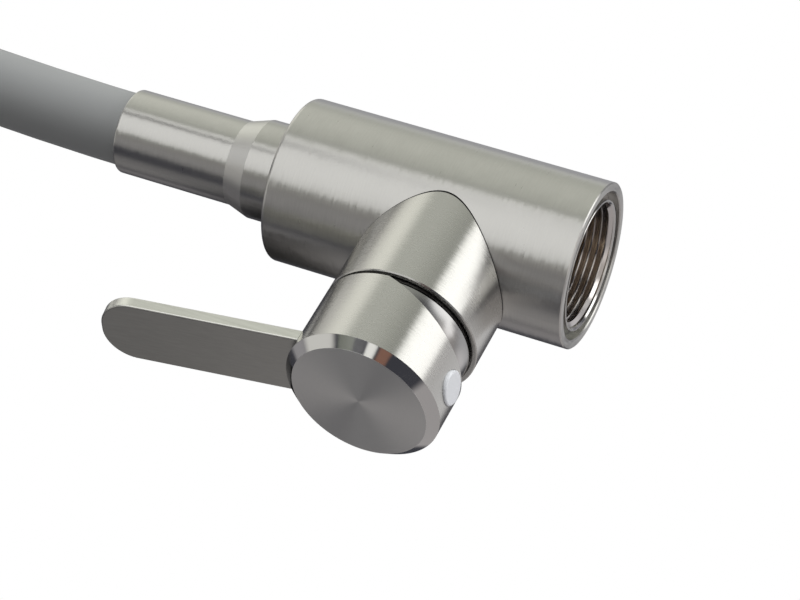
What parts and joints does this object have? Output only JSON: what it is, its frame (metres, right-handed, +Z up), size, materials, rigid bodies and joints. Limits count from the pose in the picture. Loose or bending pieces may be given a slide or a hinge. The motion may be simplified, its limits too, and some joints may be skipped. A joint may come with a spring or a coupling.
{
  "type": "kitchen mixer with a flexible spout",
  "caption": "Single-lever kitchen mixer: upright steel body, side branch with a bevelled turning cap and flat lever, and a swivelling gooseneck spout in a silicone sleeve.",
  "frame": {"origin": "centre of the threaded socket in the base, where the body stands on its shank", "axes": "+Z up the body to the spout, +X along the branch to the handle, the spout arches towards +Y"},
  "size_m": [0.0955, 0.2141, 0.3646],
  "materials": {
    "brushed_steel": "brushed round the axis",
    "turned_steel": "turned and polished",
    "silicone": "matte",
    "brass": "machined",
    "white_button": "satin",
    "ceramic": "lapped",
    "grey_plastic": "moulded",
    "black_rubber": "matte",
    "hose_liner": "smooth"
  },
  "bodies": {
    "body": {"body_shell": "brushed_steel", "side_housing": "brushed_steel", "base_socket": "turned_steel", "valve_core": "brass", "cartridge_foot": "grey_plastic", "port_seals": "black_rubber", "fixed_disc": "ceramic", "cartridge_body": "grey_plastic", "cartridge_nut": "brass", "trim_dome": "turned_steel", "swivel_washer": "grey_plastic"},
    "rotor": {"stem_guide": "grey_plastic", "stem_pin": "turned_steel"},
    "handle": {"stem": "brass", "handle_cap": "brushed_steel", "lever": "brushed_steel", "grub_screw": "turned_steel", "screw_cover": "white_button"},
    "disc": {"disc_carrier": "grey_plastic", "moving_disc": "ceramic"},
    "spout": {"spout_collar": "brushed_steel", "swivel_seals": "black_rubber", "swivel_clip": "turned_steel", "spout_sleeve": "silicone", "neck_armour": "turned_steel", "inner_hose": "hose_liner"},
    "outlet": {"outlet_ferrule": "brushed_steel", "aerator_housing": "brushed_steel", "aerator_insert": "hose_liner", "aerator_washer": "black_rubber"}
  },
  "joints": [
    {"name": "spout_swivel", "type": "hinge", "parent": "body", "child": "spout", "pos_m": [0, 0, 0.0905], "axis": [0, 0, 1], "continuous": true},
    {"name": "spout_bend", "type": "hinge", "parent": "spout", "child": "outlet", "pos_m": [0, 0.09194, 0.35382], "axis": [1, 0, 0], "range_deg": [-40, 40], "deforming": ["spout_sleeve", "neck_armour", "inner_hose"]},
    {"name": "lever_turn", "type": "hinge", "parent": "body", "child": "rotor", "pos_m": [0.036, 0, 0.0393], "axis": [1, 0, 0], "range_deg": [-45, 45]},
    {"name": "lever_lift", "type": "hinge", "parent": "rotor", "child": "handle", "pos_m": [0.042, 0, 0.0393], "axis": [0, 1, 0], "range_deg": [0, 20]},
    {"name": "disc_slide", "type": "slide", "parent": "rotor", "child": "disc", "axis": [0, 0, 1], "range_m": [0, 0.005]}
  ],
  "couplings": [
    {"joint": "disc_slide", "follows": "lever_lift", "m_per_rad": 0.014}
  ]
}
